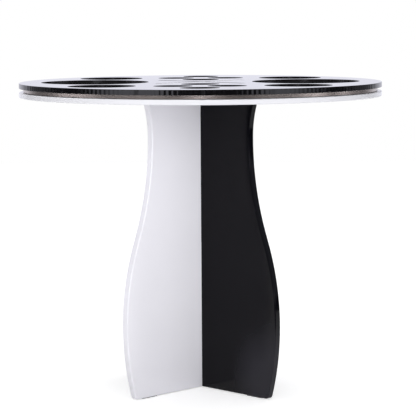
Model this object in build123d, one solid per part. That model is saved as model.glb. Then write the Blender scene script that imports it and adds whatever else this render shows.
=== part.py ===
"""Turning rack for poker chips, glasses and snack bowls, on a foot of two crossed boards.

Millimetres. +Z is up, the origin is on the ground under the turning axis. +X is to the right of
someone who faces the rack, and +Y points away from them.
"""
from build123d import *
from math import acos, cos, degrees, radians, sin, sqrt
import os

# ---- Sizes that a designer would set -------------------------------------------------------

# Deck: the black top plate with the wells
deck_radius = 200.0
deck_thickness = 5.6
deck_edge_round = 0.15

# Wells, each cut right through the deck and the core below it
bowl_radius = 59.4
glass_radius = 36.0
chip_radius = 20.8
rim_land = 24.0            # plain rim outside the bowl wells and the outermost chip wells
glass_rim_land = 17.6      # plain rim outside the glass wells
glass_land = 8.9           # bar between a glass well and the bowl well beside it
chip_land = 13.3           # bar between neighbours along the sides of a diamond of chip wells
chip_cross_land = 15.2     # bar between the two side wells of a diamond

# Turning tray under the deck: floor plate, core and the metal band around them
plate_thickness = 1.2
core_thickness = 2.7
band_inset = 4.8           # how far the band stands back from the rim of the deck
band_wall = 1.5
turning_gap = 0.4          # between the tray and the base disc

# Felt in the wells
felt_thickness = 1.0
felt_clearance = 0.3

# Two crossed strips let into the middle of the deck, and the hub ring that their screws hold on to
cross_reach = 66.0
cross_width = 8.0
cross_thickness = 2.0
cross_recess = 0.2         # how far the strips lie below the top of the deck
hub_outer_radius = 19.0
hub_inner_radius = 10.0
cross_screw_circle = 13.5  # radius

# Base disc
base_thickness = 5.6
base_edge_round = 0.8

# Boards of the foot
board_thickness = 8.0
board_height = 325.9
belly_reach = 116.7        # widest point of a board, from the axis
belly_height = 80.0
foot_tuck = 12.3           # how far the foot stands in from the belly
waist_tuck = 39.5          # how far the waist stands in from the belly
waist_height = 284.0
top_flare = 8.6            # how far the top end stands out from the waist
belly_share = 0.455        # share of the S curve's two radii that is the belly's
foot_corner_radius = 4.0
board_edge_round = 1.2

# Floor pads
pad_stand = 0.8            # how far a pad stands proud of its board
pad_pocket_depth = 1.0
pad_length = 24.0
pad_width = 5.0
pad_inset = 22.0           # from the end of the foot to the middle of its pad

# Ball race between the base disc and the tray
race_radius = 72.0
race_width = 9.0
lower_race_thickness = 0.8
upper_race_thickness = 0.6
race_groove_depth = 0.25
ball_radius = 1.5
ball_count = 24
cage_thickness = 1.2
cage_width = 7.0

# Glide buttons near the rim of the base disc
glide_radius = 4.0
glide_length = 3.2
glide_inset = 28.0         # from the rim of the base disc to the middle of a button
glide_count = 8

# Centre pivot
stud_radius = 3.0
flange_radius = 15.0
flange_thickness = 1.5
bush_wall = 2.0
bush_flange_radius = 8.0
bush_flange_thickness = 0.6
washer_radius = 6.5
washer_thickness = 0.5
clip_radius = 5.0
clip_thickness = 0.6
clip_groove_depth = 0.6

# Fixings
board_screw_reach = 46.0
board_screw_head = 3.8
board_screw_shank = 2.0
insert_radius = 2.7
insert_length = 12.0
dowel_reach = 28.0
dowel_radius = 2.0
dowel_length = 12.0
small_screw_head = 2.4
small_screw_shank = 1.25
cross_screw_head = 2.8
cross_screw_shank = 1.5
pivot_screw_circle = 10.0  # radius
pivot_screw_count = 3
tray_screw_inset = 9.7     # from the inside of the band to the middle of a screw
tray_screw_count = 8
screw_floor = 1.1          # material left beyond the tip of a screw or dowel

# Clearances
fit_clearance = 0.05       # fixed pieces in their holes, and the running fits of pivot and balls
lap_clearance = 0.1        # boards in each other's slots
cage_clearance = 0.15      # balls in their pockets
race_clearance = 0.5       # race rings in their channel, on each side
insert_tip_room = 2.0      # hole below a threaded insert

# ---- Heights and places that follow ---------------------------------------------------------

board_bottom = pad_stand
board_top = board_bottom + board_height
base_top = board_top + base_thickness
plate_bottom = base_top + turning_gap
plate_top = plate_bottom + plate_thickness
deck_bottom = plate_top + core_thickness
deck_top = deck_bottom + deck_thickness
cross_top = deck_top - cross_recess
cross_bottom = cross_top - cross_thickness
cross_middle = cross_bottom + cross_thickness / 2

band_outer_radius = deck_radius - band_inset
band_inner_radius = band_outer_radius - band_wall
tray_radius = band_inner_radius - fit_clearance
tray_screw_circle = band_inner_radius - tray_screw_inset
glide_circle = deck_radius - glide_inset

race_face_gap = 2 * (ball_radius + fit_clearance - race_groove_depth)
upper_race_bottom = plate_bottom - upper_race_thickness
ball_height = upper_race_bottom - race_face_gap / 2
lower_race_top = upper_race_bottom - race_face_gap
channel_bottom = lower_race_top - lower_race_thickness
channel_half_width = race_width / 2 + race_clearance

bush_radius = stud_radius + fit_clearance + bush_wall
bush_flange_top = plate_top + bush_flange_thickness
washer_bottom = bush_flange_top + fit_clearance
clip_bottom = washer_bottom + washer_thickness + fit_clearance
stud_top = clip_bottom + 2 * clip_thickness

foot_reach = belly_reach - foot_tuck
waist_reach = belly_reach - waist_tuck
top_reach = waist_reach + top_flare
pad_reach = foot_reach - pad_inset
white_board_angle = 45
black_board_angle = -45
arm_angles = (45, 135, 225, 315)


def polar(radius, angle):
    return (radius * cos(radians(angle)), radius * sin(radians(angle)))


def ring_of(radius, count, first=0.0):
    """Places on a circle, evenly spaced."""
    return [polar(radius, first + 360 * i / count) for i in range(count)]


def arm_places(reach):
    """The same place on each of the four arms of the foot."""
    return [polar(reach, angle) for angle in arm_angles]


def bowl_places():
    reach = deck_radius - rim_land - bowl_radius
    return [(reach, 0), (-reach, 0)]


def glass_places():
    """One in each quarter, as near to the bowl well as the bar between them allows."""
    reach = deck_radius - glass_rim_land - glass_radius
    bowl = deck_radius - rim_land - bowl_radius
    apart = bowl_radius + glass_land + glass_radius
    angle = degrees(acos((reach**2 + bowl**2 - apart**2) / (2 * reach * bowl)))
    return [polar(reach, turn) for turn in (angle, 180 - angle, 180 + angle, -angle)]


def chip_places():
    """Two diamonds of four, in front of the middle and behind it."""
    outer = deck_radius - rim_land - chip_radius
    side = chip_radius + chip_cross_land / 2
    step = sqrt((2 * chip_radius + chip_land) ** 2 - side**2)
    diamond = [(0, outer), (side, outer - step), (-side, outer - step), (0, outer - 2 * step)]
    return diamond + [(x, -y) for x, y in diamond]


def disc(radius, bottom, top, place=(0, 0)):
    """Upright cylinder between two heights."""
    return Pos(*place, bottom) * extrude(Circle(radius), top - bottom)


def discs(radius, bottom, top, places):
    return [disc(radius, bottom, top, place) for place in places]


def ring(outer, inner, bottom, top, place=(0, 0)):
    return Pos(*place, bottom) * extrude(Circle(outer) - Circle(inner), top - bottom)


def wells():
    """Cutters for every well, from the tray's floor up through the deck."""
    sizes = ((bowl_radius, bowl_places()), (glass_radius, glass_places()), (chip_radius, chip_places()))
    return [cutter for radius, places in sizes for cutter in discs(radius, plate_top, deck_top, places)]


def screw_blank(head, shank, length):
    """Countersunk head and shank, with the head's face at the origin and the tip at -length."""
    head_height = head - shank
    outline = Polyline((0, 0), (head, 0), (shank, -head_height), (shank, -length), (0, -length), close=True)
    return revolve(Plane.XZ * make_face(outline), Axis.Z)


def screw(head, shank, length):
    """Countersunk screw with a hexagon socket."""
    socket = extrude(RegularPolygon(head * 0.45, 6), -(head - shank) * 0.8)
    return screw_blank(head, shank, length) - socket


def screw_hole(head, shank, length):
    return screw_blank(head + fit_clearance, shank + fit_clearance, length + fit_clearance)


def upright(shape, place, height):
    return Pos(*place, height) * shape


def upside_down(shape, place, height):
    return Pos(*place, height) * Rot(180, 0, 0) * shape


# ---- Foot -----------------------------------------------------------------------------------


def board_outline():
    """Vase outline of a board: foot, belly, S curve, waist and flared top, mirrored about the axis."""
    radii = ((waist_height - belly_height) ** 2 + waist_tuck**2) / (2 * waist_tuck)
    belly_arc = radii * belly_share
    belly_centre = Vector(belly_reach - belly_arc, belly_height)
    waist_centre = Vector(waist_reach + radii - belly_arc, waist_height)
    inflection = belly_centre + (waist_centre - belly_centre) * belly_share
    belly = (belly_reach, belly_height)
    waist = (waist_reach, waist_height)
    foot = (foot_reach, 0)
    top = (top_reach, board_height)
    with BuildSketch() as outline:
        with BuildLine():
            TangentArc(belly, foot, tangent=(0, -1))
            TangentArc(belly, inflection, tangent=(0, 1))
            TangentArc(waist, inflection, tangent=(0, -1))
            TangentArc(waist, top, tangent=(0, 1))
            Line(top, (0, board_height))
            Line(foot, (0, 0))
            mirror(about=Plane.YZ)
        make_face()
        fillet(outline.vertices().group_by(Axis.Y)[0].sort_by(Axis.X)[0], foot_corner_radius)
        fillet(outline.vertices().group_by(Axis.Y)[0].sort_by(Axis.X)[-1], foot_corner_radius)
    return outline.sketch


def plain_board():
    """Board along X, before its slot: rounded edges, insert and dowel holes, pad pockets."""
    board = extrude(Plane.XZ * board_outline(), board_thickness / 2, both=True)
    rims = board.faces().filter_by(Axis.Y).edges()
    board = fillet([edge for edge in rims if edge.center().Z < board_height - 1e-3], board_edge_round)
    insert_depth = insert_length + insert_tip_room
    dowel_depth = dowel_length - dowel_in_base()
    for side in (-1, 1):
        hole = disc(insert_radius + fit_clearance, board_height - insert_depth, board_height)
        board -= Pos(side * board_screw_reach, 0, 0) * hole
        hole = disc(dowel_radius + fit_clearance, board_height - dowel_depth, board_height)
        board -= Pos(side * dowel_reach, 0, 0) * hole
        board -= Pos(side * pad_reach, 0, 0) * pad_blank(0, pad_pocket_depth, fit_clearance)
    return Pos(0, 0, board_bottom) * board


def lap_slot(bottom, top):
    width = board_thickness + 2 * lap_clearance
    return Pos(0, 0, bottom) * extrude(Rectangle(width, 2 * board_thickness), top - bottom)


def white_board():
    """Slotted from the top down to half its height."""
    middle = board_bottom + board_height / 2
    return Rot(0, 0, white_board_angle) * (plain_board() - lap_slot(middle, board_top))


def black_board():
    """Slotted from the foot up to just past half its height."""
    middle = board_bottom + board_height / 2 + lap_clearance
    return Rot(0, 0, black_board_angle) * (plain_board() - lap_slot(0, middle))


def pad_blank(bottom, top, grow):
    """Slot-shaped pad along X, grown sideways by a clearance."""
    width = pad_width + 2 * grow
    return Pos(0, 0, bottom) * extrude(SlotOverall(pad_length + 2 * grow, width), top - bottom)


def floor_pads():
    """One under the end of each arm, let into the board's lower edge."""
    pad = pad_blank(0, pad_stand + pad_pocket_depth, 0)
    return [Rot(0, 0, angle) * Pos(pad_reach, 0, 0) * pad for angle in arm_angles]


# ---- Base disc and its fixings --------------------------------------------------------------


def dowel_in_base():
    return base_thickness - 2 * screw_floor


def base_disc():
    """White disc on the boards, with the channel, pockets and holes of what it carries."""
    plate = disc(deck_radius, board_top, base_top)
    plate = fillet(plate.edges(), base_edge_round)
    plate -= ring(race_radius + channel_half_width, race_radius - channel_half_width, channel_bottom, base_top)
    plate -= disc(flange_radius + fit_clearance, base_top - flange_thickness, base_top)
    glide_bottom = base_top + turning_gap - 2 * fit_clearance - glide_length
    plate -= discs(glide_radius + fit_clearance, glide_bottom, base_top, ring_of(glide_circle, glide_count))
    hole = screw_hole(board_screw_head, board_screw_shank, base_thickness)
    plate -= [upright(hole, place, base_top) for place in arm_places(board_screw_reach)]
    dowel_top = board_top + dowel_in_base()
    plate -= discs(dowel_radius + fit_clearance, board_top, dowel_top, arm_places(dowel_reach))
    hole = screw_hole(small_screw_head, small_screw_shank, base_thickness - screw_floor)
    plate -= [upright(hole, place, base_top) for place in ring_of(pivot_screw_circle, pivot_screw_count)]
    return plate


def board_screws():
    one = screw(board_screw_head, board_screw_shank, base_thickness + insert_length)
    return [upright(one, place, base_top) for place in arm_places(board_screw_reach)]


def board_inserts():
    """Threaded inserts in the top edges of the boards."""
    bore = board_screw_shank + fit_clearance
    places = arm_places(board_screw_reach)
    return [ring(insert_radius, bore, board_top - insert_length, board_top, place) for place in places]


def board_dowels():
    """Half in the base disc and half in the boards, to place one on the other."""
    top = board_top + dowel_in_base() - fit_clearance
    bottom = board_top + dowel_in_base() - dowel_length + fit_clearance
    return discs(dowel_radius, bottom, top, arm_places(dowel_reach))


def glide_buttons():
    """Low-friction buttons that stop the tray's rim from touching the base disc under a load."""
    top = base_top + turning_gap - 2 * fit_clearance
    return discs(glide_radius, top - glide_length, top, ring_of(glide_circle, glide_count))


# ---- Pivot and ball race --------------------------------------------------------------------


def pivot_stud():
    """Flange let into the base disc, with the stud that the tray turns on and a groove for the clip."""
    flange = disc(flange_radius, base_top - flange_thickness, base_top)
    stud = disc(stud_radius, base_top, stud_top)
    groove_bottom = clip_bottom - fit_clearance
    groove_top = clip_bottom + clip_thickness + fit_clearance
    stud -= ring(2 * stud_radius, stud_radius - clip_groove_depth, groove_bottom, groove_top)
    hole = screw_hole(small_screw_head, small_screw_shank, flange_thickness + 1)
    holes = [upright(hole, place, base_top) for place in ring_of(pivot_screw_circle, pivot_screw_count)]
    return (flange - holes) + stud


def pivot_screws():
    one = screw(small_screw_head, small_screw_shank, base_thickness - screw_floor)
    return [upright(one, place, base_top) for place in ring_of(pivot_screw_circle, pivot_screw_count)]


def pivot_bush():
    """Flanged bush in the tray's floor plate, running on the stud."""
    bore = stud_radius + fit_clearance
    sleeve = ring(bush_radius, bore, base_top + fit_clearance, plate_top)
    return sleeve + ring(bush_flange_radius, bore, plate_top, bush_flange_top)


def thrust_washer():
    return ring(washer_radius, stud_radius + fit_clearance, washer_bottom, washer_bottom + washer_thickness)


def retaining_clip():
    """Open clip that snaps into the stud's groove and keeps the tray down."""
    inner = stud_radius - clip_groove_depth + fit_clearance
    whole = ring(clip_radius, inner, clip_bottom, clip_bottom + clip_thickness)
    mouth = Pos(0, clip_radius, clip_bottom) * Box(1.6 * inner, 2 * clip_radius, 4 * clip_thickness)
    return whole - mouth


def ball_track():
    """Ring-shaped room of the balls, with their running clearance."""
    return Pos(0, 0, ball_height) * Torus(race_radius, ball_radius + fit_clearance)


def lower_race():
    half = race_width / 2
    return ring(race_radius + half, race_radius - half, channel_bottom, lower_race_top) - ball_track()


def upper_race():
    half = race_width / 2
    return ring(race_radius + half, race_radius - half, upper_race_bottom, plate_bottom) - ball_track()


def ball_cage():
    half = cage_width / 2
    bottom = ball_height - cage_thickness / 2
    top = ball_height + cage_thickness / 2
    pockets = discs(ball_radius + cage_clearance, bottom, top, ring_of(race_radius, ball_count))
    return ring(race_radius + half, race_radius - half, bottom, top) - pockets


def bearing_balls():
    return [Pos(*place, ball_height) * Sphere(ball_radius) for place in ring_of(race_radius, ball_count)]


# ---- Turning tray and deck ------------------------------------------------------------------


def tray_screw_holes():
    length = plate_thickness + core_thickness + deck_thickness / 2
    hole = screw_hole(small_screw_head, small_screw_shank, length)
    places = ring_of(tray_screw_circle, tray_screw_count, 180 / tray_screw_count)
    return [upside_down(hole, place, plate_bottom) for place in places]


def tray_screws():
    """Up through the floor plate and the core, into the underside of the deck."""
    length = plate_thickness + core_thickness + deck_thickness / 2
    one = screw(small_screw_head, small_screw_shank, length)
    places = ring_of(tray_screw_circle, tray_screw_count, 180 / tray_screw_count)
    return [upside_down(one, place, plate_bottom) for place in places]


def tray_plate():
    """Floor of the wells, with the bush at its middle."""
    plate = disc(tray_radius, plate_bottom, plate_top)
    plate -= disc(bush_radius + fit_clearance, plate_bottom, plate_top)
    return plate - tray_screw_holes()


def well_core():
    """Black spacer between the floor plate and the deck, cut out at the wells and the hub."""
    core = disc(tray_radius, plate_top, deck_bottom)
    core -= disc(hub_outer_radius + fit_clearance, plate_top, deck_bottom)
    return core - wells() - tray_screw_holes()


def edge_band():
    """Metal band around the floor plate and the core."""
    return ring(band_outer_radius, band_inner_radius, plate_bottom, deck_bottom)


def hub_ring():
    """Fixed to the floor plate around the pivot. The strips and the deck are screwed down to it."""
    hub = ring(hub_outer_radius, hub_inner_radius, plate_top, deck_bottom)
    return hub - cross_screw_holes()


def cross_blank(reach, width, bottom, top):
    arm = Rectangle(2 * reach, width)
    flat = Rot(0, 0, white_board_angle) * arm + Rot(0, 0, black_board_angle) * arm
    return Pos(0, 0, bottom) * extrude(flat, top - bottom)


def cross_screw_holes():
    hole = screw_hole(cross_screw_head, cross_screw_shank, cross_screw_length())
    return [upright(hole, place, cross_top) for place in arm_places(cross_screw_circle)]


def cross_screw_length():
    return deck_thickness - cross_recess + core_thickness - 4 * fit_clearance


def cross_screws():
    one = screw(cross_screw_head, cross_screw_shank, cross_screw_length())
    return [upright(one, place, cross_top) for place in arm_places(cross_screw_circle)]


def cross_strip(angle, notch_bottom, notch_top):
    """Strip across the middle of the deck, with its half of the lap joint cut away."""
    strip = Pos(0, 0, cross_bottom) * extrude(Rectangle(2 * cross_reach, cross_width), cross_thickness)
    width = cross_width + 2 * fit_clearance
    strip -= Pos(0, 0, notch_bottom) * extrude(Rectangle(width, 2 * cross_width), notch_top - notch_bottom)
    return Rot(0, 0, angle) * strip - cross_screw_holes()


def white_strip():
    return cross_strip(white_board_angle, cross_middle, cross_top)


def black_strip():
    return cross_strip(black_board_angle, cross_bottom, cross_middle + fit_clearance)


def deck():
    """Black top plate with its wells and the pocket of the two strips."""
    plate = disc(deck_radius, deck_bottom, deck_top) - wells()
    rims = plate.edges().filter_by(GeomType.CIRCLE).group_by(Axis.Z)
    plate = fillet(rims[-1] + [rims[0].sort_by(SortBy.RADIUS)[-1]], deck_edge_round)
    reach = cross_reach + fit_clearance
    width = cross_width + 2 * fit_clearance
    plate -= cross_blank(reach, width, cross_bottom, deck_top)
    return plate - cross_screw_holes() - tray_screw_holes()


def felts(well_radius, places):
    radius = well_radius - felt_clearance
    return discs(radius, plate_top, plate_top + felt_thickness, places)


parts = {
    "white_board": white_board(),
    "black_board": black_board(),
    "floor_pads": floor_pads(),
    "base_disc": base_disc(),
    "board_screws": board_screws(),
    "board_inserts": board_inserts(),
    "board_dowels": board_dowels(),
    "glide_buttons": glide_buttons(),
    "pivot_stud": pivot_stud(),
    "pivot_screws": pivot_screws(),
    "thrust_washer": thrust_washer(),
    "retaining_clip": retaining_clip(),
    "lower_race": lower_race(),
    "ball_cage": ball_cage(),
    "bearing_balls": bearing_balls(),
    "upper_race": upper_race(),
    "pivot_bush": pivot_bush(),
    "tray_plate": tray_plate(),
    "well_core": well_core(),
    "edge_band": edge_band(),
    "tray_screws": tray_screws(),
    "hub_ring": hub_ring(),
    "deck": deck(),
    "white_strip": white_strip(),
    "black_strip": black_strip(),
    "cross_screws": cross_screws(),
    "bowl_felts": felts(bowl_radius, bowl_places()),
    "glass_felts": felts(glass_radius, glass_places()),
    "chip_felts": felts(chip_radius, chip_places()),
}

os.makedirs("parts", exist_ok=True)
for name, solids in parts.items():
    node = Compound(children=solids) if isinstance(solids, list) else solids
    export_step(node, f"parts/{name}.step")
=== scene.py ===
import bpy
import bmesh
import math
from mathutils import Matrix, Vector, noise


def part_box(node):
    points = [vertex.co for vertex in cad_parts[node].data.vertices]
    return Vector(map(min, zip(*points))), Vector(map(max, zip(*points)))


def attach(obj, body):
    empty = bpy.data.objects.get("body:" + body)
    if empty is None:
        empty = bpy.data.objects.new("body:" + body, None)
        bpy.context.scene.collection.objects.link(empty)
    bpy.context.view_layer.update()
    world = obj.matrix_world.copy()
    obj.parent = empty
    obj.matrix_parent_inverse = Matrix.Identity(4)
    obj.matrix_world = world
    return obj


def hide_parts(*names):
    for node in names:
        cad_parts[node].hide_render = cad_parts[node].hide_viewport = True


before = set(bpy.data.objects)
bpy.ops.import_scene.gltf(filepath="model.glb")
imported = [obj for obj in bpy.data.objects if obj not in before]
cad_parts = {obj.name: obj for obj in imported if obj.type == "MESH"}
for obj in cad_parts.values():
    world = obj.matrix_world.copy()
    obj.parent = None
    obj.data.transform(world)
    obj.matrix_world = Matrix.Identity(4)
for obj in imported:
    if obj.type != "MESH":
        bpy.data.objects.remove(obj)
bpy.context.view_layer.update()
print("frame loaded:", len(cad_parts), "nodes")


class Wire:
    # one socket of a node tree, which Python's own operators work on
    def __init__(self, graph, socket):
        self.graph = graph
        self.socket = socket

    def math(self, operation, *others):
        return self.graph.calculate(operation, self, *others)

    def __add__(self, other):
        return self.math("ADD", other)

    def __sub__(self, other):
        return self.math("SUBTRACT", other)

    def __rsub__(self, other):
        return self.graph.calculate("SUBTRACT", other, self)

    def __mul__(self, other):
        return self.math("MULTIPLY", other)

    def __truediv__(self, other):
        return self.math("DIVIDE", other)

    def __rtruediv__(self, other):
        return self.graph.calculate("DIVIDE", other, self)

    def __abs__(self):
        return self.math("ABSOLUTE")

    __radd__ = __add__
    __rmul__ = __mul__

    def above(self, edge, soft):
        # 0 below the edge, 1 above it, with a soft step between
        return self.graph.node("ShaderNodeMapRange", {"interpolation_type": "SMOOTHSTEP"},
                               {"Value": self, "From Min": edge - soft, "From Max": edge + soft})

    def between(self, low, high, soft):
        return self.above(low, soft) * (1 - self.above(high, soft))


class Graph:
    # the nodes of one tree, each made by one call
    def __init__(self, tree):
        self.tree = tree

    def node(self, kind, settings=None, sockets=None, out=0):
        made = self.tree.nodes.new(kind)
        for key, setting in (settings or {}).items():
            setattr(made, key, setting)
        for key, value in (sockets or {}).items():
            for each in value if isinstance(value, list) else [value]:
                if isinstance(each, Wire):
                    self.tree.links.new(each.socket, made.inputs[key])
                else:
                    made.inputs[key].default_value = each
        return Wire(self, made.outputs[out]) if made.outputs else made

    def also(self, wire, out):
        # another output of the node that a wire comes from
        return Wire(self, wire.socket.node.outputs[out])

    def calculate(self, operation, *values):
        return self.node("ShaderNodeMath", {"operation": operation}, dict(enumerate(values)))

    def along(self, vector, length):
        return self.node("ShaderNodeVectorMath", {"operation": "SCALE"},
                         {0: vector, "Scale": length})

    def parts(self, vector):
        x = self.node("ShaderNodeSeparateXYZ", sockets={0: vector})
        return x, self.also(x, 1), self.also(x, 2)

    def join(self, x, y, z):
        return self.node("ShaderNodeCombineXYZ", sockets={0: x, 1: y, 2: z})

    def noise(self, vector, scale, detail=3.0, rough=0.55):
        return self.node("ShaderNodeTexNoise", sockets={
            "Vector": vector, "Scale": scale, "Detail": detail, "Roughness": rough})


class Look(Graph):
    # one node material, or the world
    def __init__(self, name, owner=None):
        self.owner = owner or bpy.data.materials.new(name)
        self.owner.use_nodes = True
        super().__init__(self.owner.node_tree)
        self.tree.nodes.clear()

    def place(self):
        return self.node("ShaderNodeTexCoord", out="Object")

    def drawn(self, place, scale, turn=(0.0, 0.0, 0.0), detail=3.0, rough=0.55):
        # noise with a scale of its own each way, so that it is drawn out into lines
        turned = self.node("ShaderNodeMapping", sockets={
            "Vector": place, "Rotation": turn, "Scale": scale})
        return self.noise(turned, 1.0, detail, rough)

    def blend(self, factor, first, second):
        return self.node("ShaderNodeMix", {"data_type": "RGBA"}, {0: factor, 6: first, 7: second},
                         out=2)

    def shades(self, factor, tint, low, high):
        # from one share of a tint to another
        return self.blend(factor, shadeOf(tint, low), shadeOf(tint, high))

    def mixed(self, first, second, share):
        # two patterns in one, the first with its share of the whole
        return first * share + second * (1 - share)

    def bump(self, height):
        # the height is in metres
        return self.node("ShaderNodeBump", sockets={
            "Height": height, "Distance": 1.0, "Strength": 1.0})

    def surface(self, **sockets):
        named = {key.replace("_", " ").title().replace("Ior", "IOR"): value
                 for key, value in sockets.items()}
        shader = self.node("ShaderNodeBsdfPrincipled", sockets=named)
        self.node("ShaderNodeOutputMaterial", sockets={"Surface": shader})
        return self.owner


class Recipe(Graph):
    # a Geometry Nodes tree with a named input for each size
    def __init__(self, name, sizes):
        super().__init__(bpy.data.node_groups.new(name, "GeometryNodeTree"))
        self.sizes = sizes
        face = self.tree.interface
        face.new_socket("Geometry", in_out="INPUT", socket_type="NodeSocketGeometry")
        face.new_socket("Geometry", in_out="OUTPUT", socket_type="NodeSocketGeometry")
        for label, size in sizes.items():
            kind = "NodeSocketInt" if isinstance(size, int) else "NodeSocketFloat"
            face.new_socket(label, in_out="INPUT", socket_type=kind)
        self.start = self.node("NodeGroupInput")

    def size(self, label):
        return self.also(self.start, label)

    def numbered(self, geometry, number):
        # faces carry the number of their finish
        return self.node("GeometryNodeStoreNamedAttribute", {"data_type": "INT", "domain": "FACE"},
                         {"Geometry": geometry, "Name": "finish", "Value": number})

    def finish(self, geometry, finishes):
        # the end of the tree, with a material for each number
        whole = self.node("GeometryNodeRealizeInstances", sockets={0: geometry})
        number = self.node("GeometryNodeInputNamedAttribute", {"data_type": "INT"},
                           {"Name": "finish"})
        for at, finish in enumerate(finishes):
            chosen = number.math("COMPARE", at, 0.5)
            whole = self.node("GeometryNodeSetMaterial", sockets={
                "Geometry": whole, "Selection": chosen, "Material": looks[finish]})
        self.node("NodeGroupOutput", sockets={0: whole})

    def make(self, name, start):
        # runs the tree on a starting mesh and keeps the result as a plain, closed mesh
        piece = bpy.data.objects.new(name, start)
        bpy.context.scene.collection.objects.link(piece)
        modifier = piece.modifiers.new(name, "NODES")
        modifier.node_group = self.tree
        for item in self.tree.interface.items_tree:
            if item.name in self.sizes:
                modifier[item.identifier] = self.sizes[item.name]
        graph = bpy.context.evaluated_depsgraph_get()
        mesh = bpy.data.meshes.new_from_object(piece.evaluated_get(graph), depsgraph=graph,
                                               preserve_all_data_layers=True)
        piece.modifiers.clear()
        piece.data = mesh
        mesh.name = name
        for label in ("away", "finish"):
            mesh.attributes.remove(mesh.attributes[label])
        closeMesh(mesh, closeValues)
        return piece


closeValues = {"merge": 0.000002, "sharp": 0.5}  # metres, and radians between two faces


def closeMesh(mesh, values):
    # one skin, with its faces outwards and its corners sharp
    work = bmesh.new()
    work.from_mesh(mesh)
    bmesh.ops.remove_doubles(work, verts=work.verts, dist=values["merge"])
    bmesh.ops.recalc_face_normals(work, faces=work.faces)
    loose = 0
    for edge in work.edges:
        if edge.is_manifold:
            edge.smooth = edge.calc_face_angle() < values["sharp"]
        else:
            loose += 1
    print(mesh.name, len(work.faces), "faces,", loose, "open edges")
    work.to_mesh(mesh)
    work.free()


def shadeOf(tint, share=1.0):
    return (*[share * part for part in tint], 1.0)


# in each finish, a pair after "From" is where a mark starts and how softly,
# and "Rough" and "Depth" are what it adds to the roughness and, in metres, to the height
sheetValues = {
    "cloud": {"scale": 9.0, "detail": 4.0}, "shades": (0.96, 1.04),
    "smears": {"scale": 34.0, "detail": 6.0, "rough": 0.7}, "smearsFrom": (0.56, 0.1),
    "dust": {"scale": 900.0, "detail": 2.0}, "dustFrom": (0.69, 0.03), "dustRough": 0.05,
    "hairs": {"scale": (14.0, 900.0, 900.0), "turn": (0.3, 0.2, 0.7), "detail": 1.0},
    "hairsFrom": (0.72, 0.02), "hairsRough": 0.06, "hairsDepth": 0.000004,
    "wave": {"scale": 5.0, "detail": 1.0},
    "edgeSoft": 0.0001,
}


def smearsOn(look, place):
    # where hands have wiped across the sheet
    return look.noise(place, **sheetValues["smears"]).above(*sheetValues["smearsFrom"])


def hairsOn(look, place):
    # hairline scratches
    return look.drawn(place, **sheetValues["hairs"]).above(*sheetValues["hairsFrom"])


def sheetBump(look, place, wave, hairs):
    # slow wave of the cast sheet, less the scratches
    return look.bump(look.noise(place, **sheetValues["wave"]) * wave
                     - hairs * sheetValues["hairsDepth"])


def polishedSheet(name, tint, rough, smudge, wave, specular=0.5, cut=None):
    # cast sheet, flame polished: faint smudges, dust, hairline scratches and a slow wave;
    # a board's cut edges are rougher, and their colour is darkened as painted shade, told from its
    # faces by how deep they lie in it
    look = Look(name)
    place = look.place()
    smears, hairs = smearsOn(look, place), hairsOn(look, place)
    dust = look.noise(place, **sheetValues["dust"]).above(*sheetValues["dustFrom"])
    cloud = look.noise(place, **sheetValues["cloud"])
    shade = look.shades(cloud, tint, *sheetValues["shades"])
    roughness = (rough + smears * smudge + dust * sheetValues["dustRough"]
                 + hairs * sheetValues["hairsRough"])
    if cut:
        x, y = look.parts(place)[:2]
        inside = 1 - abs((x - y) * math.sqrt(0.5)).above(cut["depth"], sheetValues["edgeSoft"])
        # painted shade: the cut edges' colour darkened to the cut tone, and their roughness raised
        shade = look.blend(inside, shade, shadeOf(tint, cut["tone"]))
        roughness = roughness + inside * cut["rough"]
    return look.surface(base_color=shade, roughness=roughness, specular_ior_level=specular,
                        normal=sheetBump(look, place, wave, hairs))


lighterLowValues = {
    "patch": {"scale": 14.0, "detail": 2.0}, "ragged": 0.03,
    "outside": (0.085, 0.022),               # where the lighter patch starts, out from the axis
    "below": (0.045, 0.03), "slope": 0.35,   # its upper edge, which rises outwards
    "least": 0.85, "patchShare": 0.3,
    "smearsRough": 0.04, "lighterRough": 0.1, "hairsRough": 0.05, "wave": 0.00003,
}


def dustySheet(name, tint, lighterTint, rough, specular, values):
    # polished sheet, lighter and rougher in a patch low on its outer part
    look = Look(name)
    place = look.place()
    x, y, z = look.parts(place)
    across = (x * x + y * y).math("SQRT")
    patch = look.noise(place, **values["patch"])
    ragged = patch * values["ragged"]
    lighterArea = ((across + ragged).above(*values["outside"])
              * (1 - (z + ragged - across * values["slope"]).above(*values["below"])))
    cover = lighterArea * (values["least"] + patch * values["patchShare"])
    shade = look.blend(cover, shadeOf(tint), shadeOf(lighterTint))
    smears, hairs = smearsOn(look, place), hairsOn(look, place)
    roughness = (rough + smears * values["smearsRough"] + lighterArea * values["lighterRough"]
                 + hairs * values["hairsRough"])
    return look.surface(base_color=shade, roughness=roughness, specular_ior_level=specular,
                        normal=sheetBump(look, place, values["wave"], hairs))


cutValues = {
    "ridges": {"scale": (900.0, 900.0, 30.0), "detail": 2.0, "rough": 0.6}, "ridgesRough": 0.08,
    "drag": {"scale": (160.0, 160.0, 12.0)}, "dragFrom": (0.6, 0.1), "dragRough": 0.08,
    "shades": (0.8, 1.2),
}


def cutEdge(name, tint, rough, ridge, values):
    # edge left by the cutting beam: fine upright ridges, and matter patches where it dragged
    look = Look(name)
    place = look.place()
    ridges = look.drawn(place, **values["ridges"])
    drag = look.drawn(place, **values["drag"])
    roughness = (rough + ridges * values["ridgesRough"]
                 + drag.above(*values["dragFrom"]) * values["dragRough"])
    return look.surface(base_color=look.shades(drag, tint, *values["shades"]),
                        roughness=roughness, normal=look.bump(ridges * ridge))


sawnValues = {
    "saw": {"scale": (700.0, 60.0, 700.0), "turn": (0.0, 0.0, 0.785), "detail": 3.0, "rough": 0.7},
    "sawShare": 0.5, "sawRough": 0.12, "sawDepth": 0.00001,
    "wear": {"scale": 45.0, "detail": 4.0},
    "shades": (0.8, 1.15),
}


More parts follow.
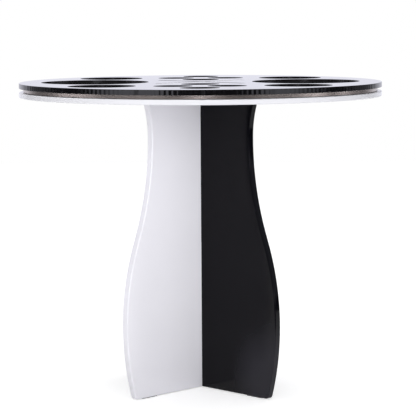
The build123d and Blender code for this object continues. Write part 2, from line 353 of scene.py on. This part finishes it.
def sawnStrip(name, tint, rough, values):
    # sawn edge of the sheet, rubbed down to a satin finish
    look = Look(name)
    place = look.place()
    saw = look.drawn(place, **values["saw"])
    wear = look.noise(place, **values["wear"])
    shade = look.shades(look.mixed(saw, wear, values["sawShare"]), tint, *values["shades"])
    return look.surface(base_color=shade, roughness=rough + saw * values["sawRough"],
                        normal=look.bump(saw * values["sawDepth"]))


turnedValues = {
    "around": 2.0,
    "rings": {"scale": 1.0, "detail": 2.0, "rough": 0.8},
    "patches": {"scale": 14.0, "detail": 3.0}, "patchesShare": 0.5, "patchesRough": 0.08,
    "shades": (0.72, 1.12),
}


def turnedMetal(name, tint, rough, pitch, depth, values):
    # satin metal turned on a lathe: fine rings round the axis, and soft patches
    look = Look(name)
    place = look.place()
    x, y, z = look.parts(place)
    around = y.math("ARCTAN2", x) * values["around"]
    rings = look.noise(look.join(around, 0.0, z / pitch), **values["rings"])
    patches = look.noise(place, **values["patches"])
    pattern = look.mixed(patches, rings, values["patchesShare"])
    shade = look.shades(pattern, tint, *values["shades"])
    return look.surface(base_color=shade, metallic=1.0, normal=look.bump(rings * depth),
                        roughness=rough + patches * values["patchesRough"])


brushedValues = {
    "lines": {"detail": 2.0, "rough": 0.7},
    "linesShare": 0.6, "linesRough": 0.1, "linesDepth": 0.00001,
    "stain": {"scale": 60.0, "detail": 4.0},
    "shades": (0.75, 1.0),
}


def brushedMetal(name, tint, rough, grain, values):
    # metal with fine tool lines, and faint stains
    look = Look(name)
    place = look.place()
    lines = look.drawn(place, grain, **values["lines"])
    stain = look.noise(place, **values["stain"])
    shade = look.shades(look.mixed(lines, stain, values["linesShare"]), tint, *values["shades"])
    return look.surface(base_color=shade, metallic=1.0,
                        roughness=rough + lines * values["linesRough"],
                        normal=look.bump(lines * values["linesDepth"]))


plasticValues = {
    "skinDetail": 2.0,
    "cloud": {"scale": 30.0, "detail": 3.0}, "cloudRough": 0.1,
    "shades": (0.85, 1.0),
}


def mouldedPlastic(name, tint, rough, grain, depth, values):
    # moulded plastic, rubber or board, with the fine skin of its mould
    look = Look(name)
    place = look.place()
    skin = look.noise(place, grain, values["skinDetail"])
    cloud = look.noise(place, **values["cloud"])
    return look.surface(base_color=look.shades(cloud, tint, *values["shades"]),
                        roughness=rough + cloud * values["cloudRough"],
                        normal=look.bump(skin * depth))


clothValues = {
    "fibres": {"scale": 2600.0, "detail": 4.0, "rough": 0.75}, "fibresShare": 0.6,
    "tufts": {"scale": 420.0, "detail": 4.0, "rough": 0.6},
    "shades": (0.45, 1.5), "depth": 0.0003, "fibresDepth": 0.6,
    "rough": 0.95, "sheen": 0.35, "sheenRough": 0.5, "specular": 0.2,
}


def feltCloth(name, tint, values):
    # short matted fibres, with tufts where they clump
    look = Look(name)
    place = look.place()
    fibres = look.noise(place, **values["fibres"])
    tufts = look.noise(place, **values["tufts"])
    pattern = look.mixed(fibres, tufts, values["fibresShare"])
    shade = look.shades(pattern, tint, *values["shades"])
    height = (fibres * values["fibresDepth"] + tufts) * values["depth"]
    return look.surface(base_color=shade, roughness=values["rough"], sheen_weight=values["sheen"],
                        sheen_roughness=values["sheenRough"],
                        specular_ior_level=values["specular"], normal=look.bump(height))


looks = {
    "deckTop": polishedSheet("blackDeckSheet", (0.006, 0.006, 0.008),
                             rough=0.02, smudge=0.02, wave=0.00002),
    "deckRim": cutEdge("blackDeckRim", (0.002, 0.002, 0.0025), 0.03, 0.000002, cutValues),
    "wellWall": cutEdge("blackWellWall", (0.002, 0.002, 0.0025), 0.16, 0.00001, cutValues),
    "blackBoard": dustySheet("blackBoardSheet", (0.0019, 0.0017, 0.0030),
                             lighterTint=(0.0190, 0.0180, 0.0235), rough=0.10, specular=0.13,
                             values=lighterLowValues),
    "whiteBoard": polishedSheet("whiteBoardSheet", (0.91, 0.90, 0.96),
                                rough=0.12, smudge=0.05, wave=0.00003, specular=0.4,
                                # just under half the board's thickness; the tone is painted shade
                                # on the cut edges
                                cut={"depth": 0.0038, "tone": 0.9, "rough": 0.2}),
    # the disc's white is darker than the boards' as painted shade, making up for the stronger light
    # on it
    "whiteDisc": polishedSheet("whiteDiscSheet", (0.74, 0.74, 0.78),
                               rough=0.10, smudge=0.05, wave=0.00003, specular=0.4),
    "band": turnedMetal("satinBandMetal", (0.46, 0.402, 0.355),
                        rough=0.22, pitch=0.0004, depth=0.00002, values=turnedValues),
    "plate": turnedMetal("millPlateMetal", (0.62, 0.62, 0.63),
                         rough=0.35, pitch=0.001, depth=0.00001, values=turnedValues),
    "whiteStrip": sawnStrip("whiteSawnStrip", (0.80, 0.80, 0.83), 0.30, sawnValues),
    "blackStrip": sawnStrip("blackSawnStrip", (0.010, 0.010, 0.012), 0.30, sawnValues),
    "steel": brushedMetal("zincSteel", (0.52, 0.52, 0.54), 0.28, (300.0, 300.0, 900.0),
                          brushedValues),
    "brightSteel": brushedMetal("ballSteel", (0.8, 0.8, 0.82), 0.06, (500.0, 500.0, 500.0),
                                brushedValues),
    "brass": brushedMetal("turnedBrass", (0.78, 0.58, 0.28), 0.25, (200.0, 200.0, 3000.0),
                          brushedValues),
    "acetal": mouldedPlastic("acetalPlastic", (0.82, 0.81, 0.77),
                             rough=0.4, grain=1400.0, depth=0.00002, values=plasticValues),
    "core": mouldedPlastic("coreBoardBlack", (0.03, 0.03, 0.032),
                           rough=0.55, grain=700.0, depth=0.00006, values=plasticValues),
    "rubber": mouldedPlastic("padRubber", (0.10, 0.10, 0.105),
                             rough=0.75, grain=1800.0, depth=0.00005, values=plasticValues),
    "felt": feltCloth("wellFelt", (0.022, 0.022, 0.025), clothValues),
}
print("finishes made:", len(looks))

nodeFinish = {
    "deckTop": ("deck",),
    "blackBoard": ("black_board",),
    "whiteBoard": ("white_board",),
    "whiteDisc": ("base_disc",),
    "band": ("edge_band",),
    "plate": ("tray_plate", "hub_ring"),
    "whiteStrip": ("white_strip",),
    "blackStrip": ("black_strip",),
    "steel": ("board_screws", "board_dowels", "pivot_stud", "pivot_screws", "thrust_washer",
              "retaining_clip", "lower_race", "upper_race", "tray_screws", "cross_screws"),
    "brightSteel": ("bearing_balls",),
    "brass": ("board_inserts",),
    "acetal": ("glide_buttons", "ball_cage", "pivot_bush"),
    "core": ("well_core",),
    "rubber": ("floor_pads",),
    "felt": ("bowl_felts", "glass_felts", "chip_felts"),
}
for finish, names in nodeFinish.items():
    for name in names:
        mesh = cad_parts[name].data
        mesh.materials.clear()
        mesh.materials.append(looks[finish])
print("finishes put on the CAD nodes")

# the wells, in metres: the places of each kind on the deck, and its radius
wellValues = {
    "bowl": {"radius": 0.0594, "places": [(0.1166, 0.0), (-0.1166, 0.0)]},
    "glass": {"radius": 0.036, "places": [
        (x, y) for y in (0.10348, -0.10348) for x in (0.10356, -0.10356)]},
    "chip": {"radius": 0.0208, "places": [
        (x, side * y) for side in (1, -1)
        for x, y in ((0.0, 0.1552), (0.0284, 0.10822), (-0.0284, 0.10822), (0.0, 0.06123))]},
}

# the crossed slot for the two strips: how far its arms reach, and how they are turned
slotValues = {"reach": 0.06605, "width": 0.0081, "turnDegrees": 45}


def deckOutline(slot, wells):
    # a point for each well, which carries its radius, and the outline of the slot
    half = slot["width"] / 2
    corners = [(slot["reach"], -half), (slot["reach"], half), (half, half)]
    turned = [Matrix.Rotation(math.radians(slot["turnDegrees"] + 90 * quarter), 2)
              for quarter in range(4)]
    points = [tuple(turn @ Vector(corner)) for turn in turned for corner in corners]
    edges = [(at, (at + 1) % len(points)) for at in range(len(points))]
    radii = [0.0] * len(points)
    for kind in wells.values():
        points += kind["places"]
        radii += [kind["radius"]] * len(kind["places"])
    mesh = bpy.data.meshes.new("deckOutline")
    mesh.from_pydata([(x, y, 0.0) for x, y in points], edges, [])
    mesh.attributes.new("wellRadius", "FLOAT", "POINT").data.foreach_set("value", radii)
    return mesh


def deckRecipe(sizes):
    # plate filled between its rim, its wells and the slot, with walls pulled down from each
    make = Recipe("deckRecipe", sizes)
    start = make.size("Geometry")
    chamfer = make.size("Chamfer")
    thickness = make.size("Thickness")
    slotDepth = make.size("Slot Depth")

    place = make.node("GeometryNodeInputPosition")
    x, y = make.parts(place)[:2]
    outward = make.node("ShaderNodeVectorMath", {"operation": "NORMALIZE"}, {0: place})
    wave = (y.math("ARCTAN2", x) * make.size("Ripple Count")).math("COSINE")
    strength = (make.size("Ripple Least")
                + make.size("Ripple Spread") * make.noise(place, make.size("Ripple Patches"), 2.0))
    ripple = (wave - 1) * strength * make.size("Ripple Depth") * 0.5

    def attribute(name, kind):
        return make.node("GeometryNodeInputNamedAttribute", {"data_type": kind}, {"Name": name})

    def circle(resolution, radius, away):
        # each of its points carries the level way out of the solid
        loop = make.node("GeometryNodeCurvePrimitiveCircle", sockets={
            "Resolution": resolution, "Radius": radius})
        return make.node("GeometryNodeStoreNamedAttribute", {"data_type": "FLOAT_VECTOR"},
                         {"Geometry": loop, "Name": "away", "Value": away})

    def moved(geometry, offset):
        return make.node("GeometryNodeSetPosition", sockets={
            "Geometry": geometry, "Offset": offset})

    def down(depth):
        return make.join(0.0, 0.0, 0.0 - depth)

    def together(*pieces):
        return make.node("GeometryNodeJoinGeometry", sockets={0: list(pieces)})

    def filled(*curves):
        return make.node("GeometryNodeFillCurve", sockets={"Curve": together(*curves)})

    def asMesh(curves):
        return make.node("GeometryNodeCurveToMesh", sockets={"Curve": curves})

    def shaded(geometry, smooth, chosen=True):
        return make.node("GeometryNodeSetShadeSmooth", sockets={
            "Geometry": geometry, "Selection": chosen, "Shade Smooth": smooth})

    def pulled(mesh, offset, chosen=True):
        return make.node("GeometryNodeExtrudeMesh", {"mode": "EDGES"}, {
            "Mesh": mesh, "Selection": chosen, "Offset": offset, "Offset Scale": 1.0})

    def wallsOf(curves):
        # chamfer, wall and chamfer
        away = attribute("away", "FLOAT_VECTOR")
        mesh, chosen = asMesh(curves), True
        for drop, out, smooth in ((chamfer, chamfer, False),
                                  (thickness - chamfer * 2, 0.0, True),
                                  (chamfer, chamfer * -1, False)):
            outX, outY = make.parts(make.along(away, out))[:2]
            mesh = pulled(mesh, make.join(outX, outY, 0.0 - drop), chosen)
            chosen, side = make.also(mesh, "Top"), make.also(mesh, "Side")
            mesh = shaded(mesh, smooth, side)
        return mesh

    rim = circle(make.size("Ripple Count") * make.size("Points per Ripple"),
                 make.size("Radius") - chamfer, outward)
    rim = moved(rim, make.along(outward, ripple))
    radius = attribute("wellRadius", "FLOAT")
    wells = make.node("GeometryNodeInstanceOnPoints", sockets={
        "Points": start, "Selection": radius.math("GREATER_THAN", 0.0), "Scale": radius + chamfer,
        "Instance": circle(make.size("Points per Well"), 1.0, make.along(outward, -1.0))})
    wells = make.node("GeometryNodeRealizeInstances", sockets={0: wells})
    slot = make.node("GeometryNodeMeshToCurve", sockets={"Mesh": start})
    sheet = together(filled(rim, wells, slot), moved(filled(rim, wells), down(thickness)),
                     moved(filled(slot), down(slotDepth)), pulled(asMesh(slot), down(slotDepth)))
    whole = together(make.numbered(shaded(sheet, False), 0), make.numbered(wallsOf(rim), 1),
                     make.numbered(wallsOf(wells), 2))
    whole = make.node("GeometryNodeMergeByDistance", sockets={
        "Geometry": whole, "Distance": make.size("Merge")})
    make.finish(moved(whole, make.join(0.0, 0.0, make.size("Top Height"))),
                ("deckTop", "deckRim", "wellWall"))
    return make


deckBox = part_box("deck")
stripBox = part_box("black_strip")
deckValues = {
    "Radius": 0.2,
    "Thickness": deckBox[1][2] - deckBox[0][2],
    "Top Height": deckBox[1][2],
    "Chamfer": 0.00015,
    "Ripple Count": 240,
    "Points per Ripple": 10,
    "Ripple Depth": 0.00014,
    "Ripple Least": 0.3,      # share of the depth, and what the patches add to it
    "Ripple Spread": 1.4,
    "Ripple Patches": 11.0,
    "Points per Well": 144,
    "Slot Depth": deckBox[1][2] - stripBox[0][2],
    "Merge": 0.00001,
}
deckPlate = deckRecipe(deckValues).make("deckPlate", deckOutline(slotValues, wellValues))
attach(deckPlate, "carousel")
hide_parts("deck")
print("deck cut")

feltValues = {
    "clearance": 0.0003, "ringWidth": 0.004, "segments": 96,
    # shares of the thickness: the flat's inset, the edge's points in and down, and its lower end
    "shoulder": 0.3, "edge": ((0.1, 0.12), (0.0, 0.4)), "lowEdge": 0.1,
    "nap": 0.00006, "napScale": 90, "seed": 4.0,
}


def feltDisc(name, node, place, radius, values):
    # die-cut disc lying on the floor plate: rounded rim, and a slightly uneven nap
    low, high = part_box(node)
    bottom, top = low[2], high[2]
    thickness = top - bottom
    inner = radius - thickness * values["shoulder"]
    steps = max(3, round(radius / values["ringWidth"]))
    outline = [(inner * step / steps, top) for step in range(1, steps + 1)]
    outline += [(radius - thickness * inset, top - thickness * drop)
                for inset, drop in values["edge"]]
    outline += [(radius, bottom + thickness * values["lowEdge"]), (inner, bottom)]
    work = bmesh.new()
    count = values["segments"]
    seed = Vector((values["seed"], 0, 0))
    rings = []
    for distance, height in outline:
        ring = []
        for at in range(count):
            turn = 2 * math.pi * at / count
            point = Vector((place[0] + distance * math.cos(turn),
                            place[1] + distance * math.sin(turn), height))
            if height > bottom + thickness * 0.5:
                point.z += values["nap"] * (noise.noise(point * values["napScale"] + seed) - 1)
            ring.append(work.verts.new(point))
        rings.append(ring)
    centre = work.verts.new((*place, top - values["nap"]))
    for at in range(count):
        after = (at + 1) % count
        work.faces.new((centre, rings[0][at], rings[0][after]))
        for inside, outside in zip(rings, rings[1:]):
            work.faces.new((inside[at], outside[at], outside[after], inside[after]))
    underside = work.faces.new(rings[-1][::-1])
    bmesh.ops.recalc_face_normals(work, faces=work.faces)
    for face in work.faces:
        face.smooth = face != underside
    mesh = bpy.data.meshes.new(name)
    work.to_mesh(mesh)
    work.free()
    mesh.materials.append(looks["felt"])
    piece = bpy.data.objects.new(name, mesh)
    bpy.context.scene.collection.objects.link(piece)
    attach(piece, "carousel")
    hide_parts(node)
    2 * radius
    2 * radius
    math.pi * radius ** 2


for kind, well in wellValues.items():
    for number, place in enumerate(well["places"], 1):
        feltDisc(kind + "Felt" + str(number), kind + "_felts", place,
                 well["radius"] - feltValues["clearance"], feltValues)
print("felts laid")

stageValues = {
    "width": 3.2, "front": -0.45, "back": 3.0,
    "albedo": 0.8, "grain": {"scale": 3.0, "detail": 3.0}, "shades": (1.0, 1.02),
    "glow": 0.52,  # only as seen, and in the gloss
}


def makeStage(values):
    # pale studio floor
    half = values["width"] / 2
    corners = [(-half, values["front"], 0), (half, values["front"], 0),
               (half, values["back"], 0), (-half, values["back"], 0)]
    mesh = bpy.data.meshes.new("studioFloor")
    mesh.from_pydata(corners, [], [(0, 1, 2, 3)])
    floor = bpy.data.objects.new("studioFloor", mesh)
    bpy.context.scene.collection.objects.link(floor)
    look = Look("studioFloor")
    camera = look.node("ShaderNodeLightPath", out="Is Camera Ray")
    seen = camera + look.also(camera, "Is Glossy Ray") + look.also(camera, "Is Transmission Ray")
    grain = look.noise(look.place(), **values["grain"])
    matt = look.node("ShaderNodeBsdfDiffuse", sockets={
        "Color": look.shades(grain, [values["albedo"]] * 3, *values["shades"])})
    glow = look.node("ShaderNodeEmission", sockets={
        "Color": shadeOf((1, 1, 1)), "Strength": seen.math("MINIMUM", 1.0) * values["glow"]})
    both = look.node("ShaderNodeAddShader", sockets={0: matt, 1: glow})
    look.node("ShaderNodeOutputMaterial", sockets={"Surface": both})
    mesh.materials.append(look.owner)


# the studio as the gloss sees it, by degrees: "from" and "to" are turned from the front, to the
# right where positive, "bottom" and "top" are above the horizon, "soft" is half an edge's width
worldValues = {
    "backdrop": {"from": 141.0, "soft": 10.0, "strength": 1.0},
    "skirt": {"from": 107.0, "soft": 8.0, "strength": 0.165},  # dim wall beside the backdrop
    "room": 0.035,                                             # dark room in front
    "haze": {"from": 2.0, "soft": 1.0, "strength": 0.48},      # all round above the horizon
    # softboxes: one straight in front, strips below the horizon, and upright ones at the sides
    "front": {"spread": 5.5, "sideSoft": 5.0, "bottom": -0.5, "top": 5.0, "soft": 1.0,
              "strength": 4.8},
    "low": {"bottom": -3.6, "top": -1.2, "soft": 0.8, "boxes": (
        {"from": -64.0, "fromSoft": 13.0, "to": -20.0, "toSoft": 3.0, "strength": 1.6},
        {"from": 35.0, "fromSoft": 7.0, "to": 70.0, "toSoft": 14.0, "strength": 1.35})},
    "sides": {"bottom": -0.5, "top": 5.0, "soft": 0.8, "boxes": (
        {"from": -104.0, "fromSoft": 8.0, "to": -71.0, "toSoft": 8.0, "strength": 3.5},
        {"from": 70.0, "fromSoft": 8.0, "to": 86.0, "toSoft": 2.5, "strength": 5.0},
        {"from": 98.5, "fromSoft": 2.5, "to": 108.0, "toSoft": 6.0, "strength": 5.0})},
    "tone": (0.95, 0.95, 1.06),
    # the soft light: a level all round, and a lobe each from the front and from behind
    "diffuse": {"around": 0.45, "front": 4.25, "narrow": 9.0, "rise": 4.0,
                "back": 1.0, "wide": 2.0},
}


def makeWorld(values):
    # plain white behind the object; its gloss sees the studio, and its matt sides the soft light
    world = bpy.data.worlds.new("studio")
    bpy.context.scene.world = world
    look = Look("studio", world)
    camera = look.node("ShaderNodeLightPath", out="Is Camera Ray")
    glossy = look.also(camera, "Is Glossy Ray") + look.also(camera, "Is Transmission Ray")
    glossy = glossy.math("MINIMUM", 1.0)
    x, y, z = look.parts(look.node("ShaderNodeTexCoord", out="Generated"))
    azimuth = x.math("ARCTAN2", y * -1) * math.degrees(1)
    elevation = z.math("ARCSINE") * math.degrees(1)
    side = abs(azimuth)

    def upright(box):
        return elevation.between(box["bottom"], box["top"], box["soft"])

    def row(boxes):
        lit = sum(azimuth.above(box["from"], box["fromSoft"])
                  * (1 - azimuth.above(box["to"], box["toSoft"])) * box["strength"]
                  for box in boxes["boxes"])
        return lit * upright(boxes)

    front, backdrop, skirt, haze = [values[part] for part in ("front", "backdrop", "skirt", "haze")]
    behind = side.above(backdrop["from"], backdrop["soft"])
    frontBox = (1 - side.above(front["spread"], front["sideSoft"])) * upright(front)
    mirror = (values["room"]
              + elevation.above(haze["from"], haze["soft"]) * haze["strength"] * (1 - behind)
              + side.above(skirt["from"], skirt["soft"]) * skirt["strength"] * (1 - behind)
              + behind * (backdrop["strength"] - values["room"])
              + row(values["low"]) + row(values["sides"]) + frontBox * front["strength"])

    soft = values["diffuse"]
    rise = math.radians(soft["rise"])
    facing = z * math.sin(rise) - y * math.cos(rise)
    fromFront = facing.math("MAXIMUM", 0.0).math("POWER", soft["narrow"])
    fromBack = (facing * -1).math("MAXIMUM", 0.0).math("POWER", soft["wide"])
    diffuse = soft["around"] + fromFront * soft["front"] + fromBack * soft["back"]

    strength = camera + (1 - camera) * (glossy * mirror + (1 - glossy) * diffuse)
    tone = look.blend(glossy, shadeOf((1, 1, 1)), shadeOf(values["tone"]))
    shader = look.node("ShaderNodeBackground", sockets={"Color": tone, "Strength": strength})
    look.node("ShaderNodeOutputWorld", sockets={"Surface": shader})


lampValues = {"size": 1.8, "place": (0.0, 0.1, 2.0), "watts": 12.0}


def makeLamp(values):
    data = bpy.data.lights.new("topSoftbox", "AREA")
    data.shape = "RECTANGLE"
    data.size = values["size"]
    data.size_y = values["size"]
    data.energy = values["watts"]
    lamp = bpy.data.objects.new("topSoftbox", data)
    lamp.location = values["place"]
    bpy.context.scene.collection.objects.link(lamp)


cameraValues = {
    "lens": 163.1, "sensor": 36.0, "farthest": 50.0,
    "place": (0.0077, -2.088, 0.42674), "downDegrees": 6.154, "rollDegrees": -0.3,
}


def makeCamera(values):
    data = bpy.data.cameras.new("camera")
    data.sensor_width = values["sensor"]
    data.lens = values["lens"]
    data.clip_end = values["farthest"]
    camera = bpy.data.objects.new("camera", data)
    bpy.context.scene.collection.objects.link(camera)
    tilt = Matrix.Rotation(math.radians(90 - values["downDegrees"]), 4, "X")
    roll = Matrix.Rotation(math.radians(values["rollDegrees"]), 4, "Z")
    camera.matrix_world = Matrix.Translation(values["place"]) @ tilt @ roll
    bpy.context.scene.camera = camera


makeStage(stageValues)
makeWorld(worldValues)
makeLamp(lampValues)
makeCamera(cameraValues)
bpy.context.scene.view_settings.view_transform = "Standard"
print("stage, lights and camera set")

bpy.context.view_layer.update()
